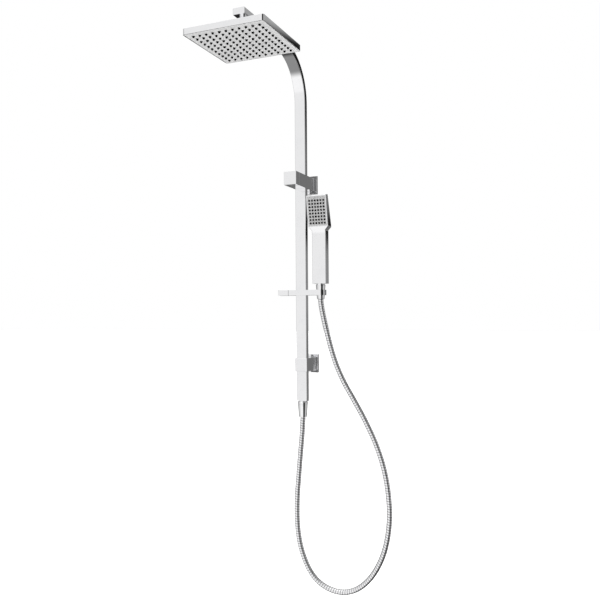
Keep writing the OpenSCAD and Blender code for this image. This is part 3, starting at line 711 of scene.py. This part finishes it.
tail_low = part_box("rail_hose_tail")[0].z
done(hose_nut("outlet_nut", "rail_hose_nut", 0.0109, tail_low, (0.0062, 0.0084, 0.0372)),
     "column", "chrome", SOFT_CHROME, "rail_hose_nut")
tail_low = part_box("cone_nut_tail")[0].z
done(hose_nut("cone_hose_nut", "cone_nut", 0.0098, tail_low, (0.0032, 0.0356)),
     "cone", "chrome", SOFT_CHROME, "cone_nut")

# ---- slider: a flat bar round the rail, with the cradle at its right end

low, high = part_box("slider_body")
liner_low, liner_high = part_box("slider_liners")
sleeve_low, sleeve_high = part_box("cradle_liner")
yoke_low, yoke_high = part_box("grip_yoke")
nut_low, nut_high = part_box("cone_nut")
cradle = Vector(((nut_low.x + nut_high.x) / 2, RAIL_Y, (low.z + high.z) / 2))
tall, ring = high.z - low.z, (high.y - low.y) / 2
sleeve = (sleeve_high.y - sleeve_low.y) / 2
BAR_HALF, SLOT_HALF, TONGUE_HALF = 0.015, 0.0075, 0.004
bar = slab("slider_bar", (low.x, RAIL_Y - BAR_HALF, low.z),
           (cradle.x, RAIL_Y + BAR_HALF, high.z))
cut(bar, rod("cradle_ring", cradle, ring, tall, 96), operation="UNION")
cut(bar,
    rod("cradle_bore", cradle, sleeve - 0.0011, tall + 0.0008, 72, top_radius=sleeve + 0.0001),
    slab("cradle_mouth", (cradle.x, RAIL_Y - SLOT_HALF, low.z - 0.01),
         (cradle.x + 0.03, RAIL_Y + SLOT_HALF, high.z + 0.01)),
    slab("liner_way", (liner_low.x, liner_low.y, low.z - 0.01),
         (liner_high.x, liner_high.y, high.z + 0.01)),
    slab("yoke_way", (-0.0226, yoke_low.y - 0.0002, yoke_low.z - 0.0002),
         (yoke_high.x + 0.0018, yoke_high.y + 0.0002, yoke_high.z + 0.0002)),
    slab("tongue_way", (low.x - 0.01, RAIL_Y - TONGUE_HALF, yoke_low.z - 0.0002),
         (-0.022, RAIL_Y + TONGUE_HALF, yoke_high.z + 0.0002)),
    rod("spring_pocket", (low.x, RAIL_Y, cradle.z), 0.0058, 0.013, 32, "X"),
    slab("button_pocket", (low.x - 0.01, RAIL_Y - 0.01465, low.z + 0.00035),
         (low.x + 0.0032, RAIL_Y + 0.01465, high.z - 0.00035)))
ease(bar, 0.0006, 2)
done(bar, "slider", "chrome", CHROME, "slider_body")

low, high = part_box("slider_button")
button = slab("push_button", low, high)
edit(button)
round_upright_edges(button, 0.01, 0.001, 3)
pick(button, lambda f: f.normal.x < -FACING)
bpy.ops.mesh.inset(thickness=0.0022)
bpy.ops.transform.translate(value=(0.0004, 0, 0))
pick(button, lambda f: f.normal.x > FACING)
bpy.ops.mesh.inset(thickness=0.0004)
push((0.003, 0, 0))
leave()
cut(button, slab("tongue_slot", (high.x - 0.0045, RAIL_Y - 0.0039, yoke_low.z - 0.0001),
                 (high.x + 0.01, RAIL_Y + 0.0039, yoke_high.z + 0.0001)))
ease(button, 0.0004, 2)
done(button, "button", "chrome", CHROME, "slider_button")

# ---- hand shower: a flat handle that flares into a wider, tilted head

low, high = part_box("handset_shell")
AX, TILT = (low.x + high.x) / 2, math.radians(9.8)
HANDLE_W, HANDLE_D, HANDLE_LEN = 0.039, 0.022, 0.142
HEAD_W, HEAD_LEN, SHOULDER, STEP, FLARE = high.x - low.x, 0.0833, 0.0085, 0.0057, 0.026
front, rear = RAIL_Y - HANDLE_D / 2, RAIL_Y + HANDLE_D / 2
handle_top = low.z + HANDLE_LEN
up_face = Vector((0, -math.sin(TILT), math.cos(TILT)))
out_face = Vector((0, -math.cos(TILT), -math.sin(TILT)))
foot = Vector((AX, front - STEP, handle_top + SHOULDER))
heel = Vector((AX, foot.y + 0.024, foot.z + SHOULDER))
head_top = foot + HEAD_LEN * up_face
back_top = head_top - 0.0146 * out_face


def section(t):
    """Front and back of the flaring handle, and half its width, at a share of the flare."""
    z = foot.z - FLARE * (1 - t)
    rise = max(0, (z - handle_top) / SHOULDER)
    wide = HANDLE_W / 2 + (HEAD_W - HANDLE_W) / 2 * rise
    return (front - STEP * t * t, z), (rear + (heel.y - rear) * rise / 2, z), wide


def loft(piece, ahead_of, behind, half):
    """Extrudes the top face and puts its four corners on the next section."""
    push((0, 0, 0.0005))
    shape = bmesh.from_edit_mesh(piece.data)
    corners = sorted((v for v in shape.verts if v.select), key=lambda v: v.co.y)
    for v, (y, z) in zip(corners, (ahead_of, ahead_of, behind, behind)):
        v.co = (AX + half * (1 if v.co.x > AX else -1), y, z)
    bmesh.update_edit_mesh(piece.data)


bottom = foot.z - FLARE
hand = slab("hand_shower", (AX - HANDLE_W / 2, front, low.z), (AX + HANDLE_W / 2, rear, bottom))
edit(hand)
pick(hand, lambda f: f.normal.z > FACING)
for t in (0.125, 0.25, 0.375, 0.5, 0.58, 1 - SHOULDER / FLARE, 0.75, 0.85, 0.93, 1.0):
    loft(hand, *section(t))
ledge = foot + up_face * (SHOULDER / up_face.z)
loft(hand, (ledge.y, ledge.z), (heel.y, heel.z), HEAD_W / 2)
loft(hand, (head_top.y, head_top.z), (back_top.y, back_top.z), HEAD_W / 2)


def sharp_outside(edge):
    """The long outer edges and the ones round the top of the head."""
    if len(edge.link_faces) != 2 or edge.calc_face_angle() < math.radians(38):
        return False
    return middle(edge).z > low.z + 0.001


pick(hand, sharp_outside, "edges")
bpy.ops.mesh.bevel(offset=0.0016, segments=4)
pick(hand, lambda f: f.normal.dot(out_face) > 0.9999 and middle(f).z > foot.z)
bpy.ops.mesh.inset(thickness=0.0014)
push(-0.0023 * out_face)
bpy.ops.mesh.inset(thickness=0.002)
push(-0.0062 * out_face)
leave()
cut(hand, rod("spigot_bore", (AX, RAIL_Y, low.z + 0.004), 0.0081, 0.0084, 48))
ease(hand, 0.0004, 2, 55)
done(hand, "handset", "chrome", CHROME, "handset_shell")

HEAD_COLS, HEAD_ROWS, HEAD_JET, HEAD_OUT = 6, 8, 0.0022, 0.0018
HEAD_HOLE, PLATE_IN, MAT_ROUND = 0.0027, 0.0031, 0.003
side_in, foot_in, top_in = 0.0085, 0.0096, 0.0142
step_x = (HEAD_W - 2 * side_in) / (HEAD_COLS - 1)
step_up = (HEAD_LEN - foot_in - top_in) / (HEAD_ROWS - 1)


def onto_face(piece):
    """Turns a piece made flat, Y up the face and Z into the head, and sets it on the face."""
    take(piece)
    piece.matrix_world = Matrix.Translation(foot) @ Matrix(
        (Vector((-1, 0, 0)), up_face, -out_face)).transposed().to_4x4()
    bpy.ops.object.transform_apply(location=True, rotation=True, scale=True)


def spray_field(piece):
    """Repeats a nozzle or a hole over the head."""
    repeat(piece, HEAD_COLS, (step_x, 0, 0))
    repeat(piece, HEAD_ROWS, (0, step_up, 0))


first = Vector((side_in - HEAD_W / 2, foot_in, 0))
sprays = jet("hand_shower_nozzles", first, HEAD_JET, HEAD_OUT, 0.0023)
spray_field(sprays)
plate = slab("hand_shower_plate", (PLATE_IN - HEAD_W / 2, PLATE_IN, 0.0003),
             (HEAD_W / 2 - PLATE_IN, HEAD_LEN - PLATE_IN, 0.0023))
holes = rod("plate_holes", first + Vector((0, 0, 0.0013)), HEAD_HOLE, 0.004, sides=20)
spray_field(holes)
cut(plate, holes)
last = first + Vector((step_x * (HEAD_COLS - 1), step_up * (HEAD_ROWS - 1), 0))
pad = dished_pad("hand_shower_mat", first + Vector((-MAT_ROUND, -MAT_ROUND, 0.0023)),
                 last + Vector((MAT_ROUND, MAT_ROUND, 0.0033)), 0.001)
for piece in (sprays, plate, pad):
    onto_face(piece)
smooth(sprays, 50)
ease(plate, 0.0002, 1, 60)
ease(pad, 0.0002, 2)
done(sprays, "handset", "nozzle_rubber", NOZZLE, "handset_nozzle_mat")
done(pad, "handset", "nozzle_rubber", NOZZLE)
done(plate, "handset", "satin_plate", HEAD_PLATE, "handset_face_plate")

# ---- floor, light and backdrop

FLOOR_Z = -1.24
clear()
bpy.ops.mesh.primitive_plane_add(size=60, location=(0, 0, FLOOR_Z))
floor = bpy.context.object
floor.name = "floor"
pale = Finish("pale_floor", (0.93, 0.93, 0.93), 0.8)
pale.set(**{"Base Color": pale.tint(pale.noise(3), (0.92, 0.92, 0.92), (0.94, 0.94, 0.94))})
dress(floor, pale.material)
floor.visible_glossy = False


class Studio(Finish):
    """The room's light by direction: a broad white wall to the left, a darker right side."""

    def __init__(self):
        world = bpy.data.worlds.new("studio")
        scene.world = world
        world.use_nodes = True
        self.tree = world.node_tree
        lit = self.tree.nodes["Background"]
        way = self.node("ShaderNodeSeparateXYZ", None,
                        {0: self.node("ShaderNodeTexCoord", out="Generated")})
        x, y, z = (Socket(self, way.link.node.outputs[i]) for i in range(3))
        # where the white wall ends, a little further round below the horizon
        left = 0 - y * 0.33 - x * 0.944 + (0 - z).within(0.075, 0.125) * 0.17
        left = left.within(-0.05, 0.05)
        # the white wall, and what is seen under its lower edge
        lower = (z - y * 0.4).within(-0.76, -0.46)
        wall = 0.91 - (z - 0.02).within(0.04, 0.22) * 0.016 + (0 - z).within(0.1, 0.3) * 0.12
        under = (0.66 - y).within(0.0, 0.28) * 0.28 + 0.004
        away = (1 - (0 - x).within(0.45, 1.0) * 0.35) * (1 - y.within(-0.1, 0.5) * 0.8)
        bright = wall * lower * away + under * (1 - lower)
        # the right side: grey in front and behind, with a dark line, a hump and a pale rim
        near, far = 1 - y.within(-0.9, -0.84), y.within(0.76, 0.83)
        hump = 1 - abs(z - 0.035).within(0.02, 0.09)
        band = abs(z - 0.118).within(0.006, 0.035)
        side = (0.16 + hump * 0.09) * band * (1 - z.within(0.2, 0.28))
        side = side + z.within(0.352, 0.386) * 0.4 + 0.004
        rim = y.within(-0.45, 0.05) * (1 - y.within(0.6, 0.8)) * (1 - abs(z).within(0.3, 0.6))
        dim = (near + far) * side + rim * 0.62 + 0.006
        above = z.within(0.62, 0.9) * 0.7
        tone = bright * left + dim * (1 - left) + above
        grey = self.node("ShaderNodeCombineColor", None, {0: tone, 1: tone, 2: tone})
        self.put(lit.inputs[0], grey)
        plain = self.tree.nodes.new("ShaderNodeBackground")
        plain.inputs[0].default_value = (1, 1, 1, 1)
        mixed = self.tree.nodes.new("ShaderNodeMixShader")
        self.put(mixed.inputs[0], self.node("ShaderNodeLightPath", out="Is Camera Ray"))
        for i, source in ((1, lit), (2, plain)):
            self.tree.links.new(source.outputs[0], mixed.inputs[i])
        self.tree.links.new(mixed.outputs[0], self.tree.nodes["World Output"].inputs[0])


Studio()

sky = bpy.data.lights.new("overhead_light", "SUN")
sky.energy, sky.angle = 3.3, math.radians(70)
overhead = bpy.data.objects.new("overhead_light", sky)
overhead.rotation_euler = (math.radians(-18), math.radians(-10), 0)
overhead.visible_glossy = False
scene.collection.objects.link(overhead)

scene.view_settings.view_transform = "Standard"
